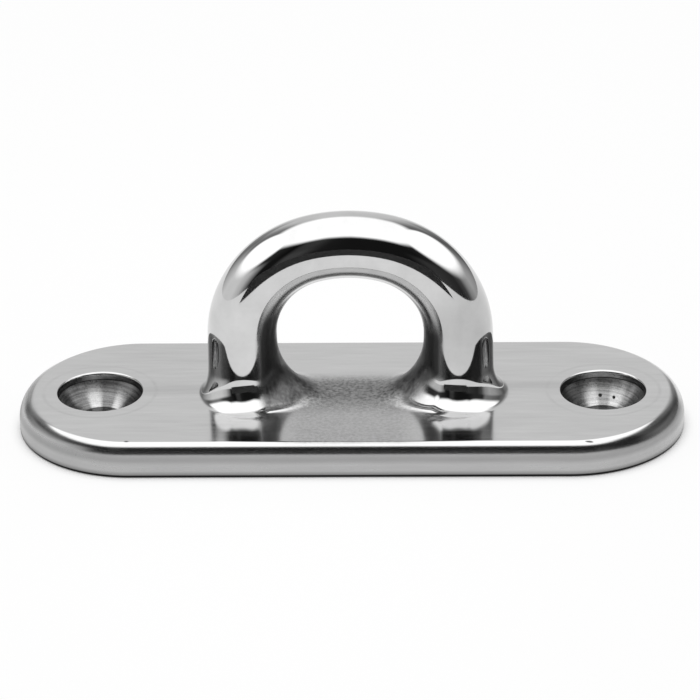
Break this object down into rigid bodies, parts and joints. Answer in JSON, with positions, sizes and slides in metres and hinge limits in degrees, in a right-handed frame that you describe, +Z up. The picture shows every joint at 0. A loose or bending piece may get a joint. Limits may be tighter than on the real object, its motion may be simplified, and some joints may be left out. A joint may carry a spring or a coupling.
{
  "type": "vang eye plate",
  "caption": "Oblong deck plate with a countersunk screw hole near each end and a round-bar bow in the middle that takes a shackle, hook or block.",
  "frame": {"origin": "centre of the plate's underside, midway between the screw holes", "axes": "+X along the plate from screw to screw, +Y across the plate and through the eye, +Z up away from the deck"},
  "size_m": [0.0992, 0.035, 0.0343],
  "materials": {
    "polished_steel": "mirror-polished stainless steel"
  },
  "bodies": {
    "root": {"eye_plate": "polished_steel"}
  },
  "joints": []
}
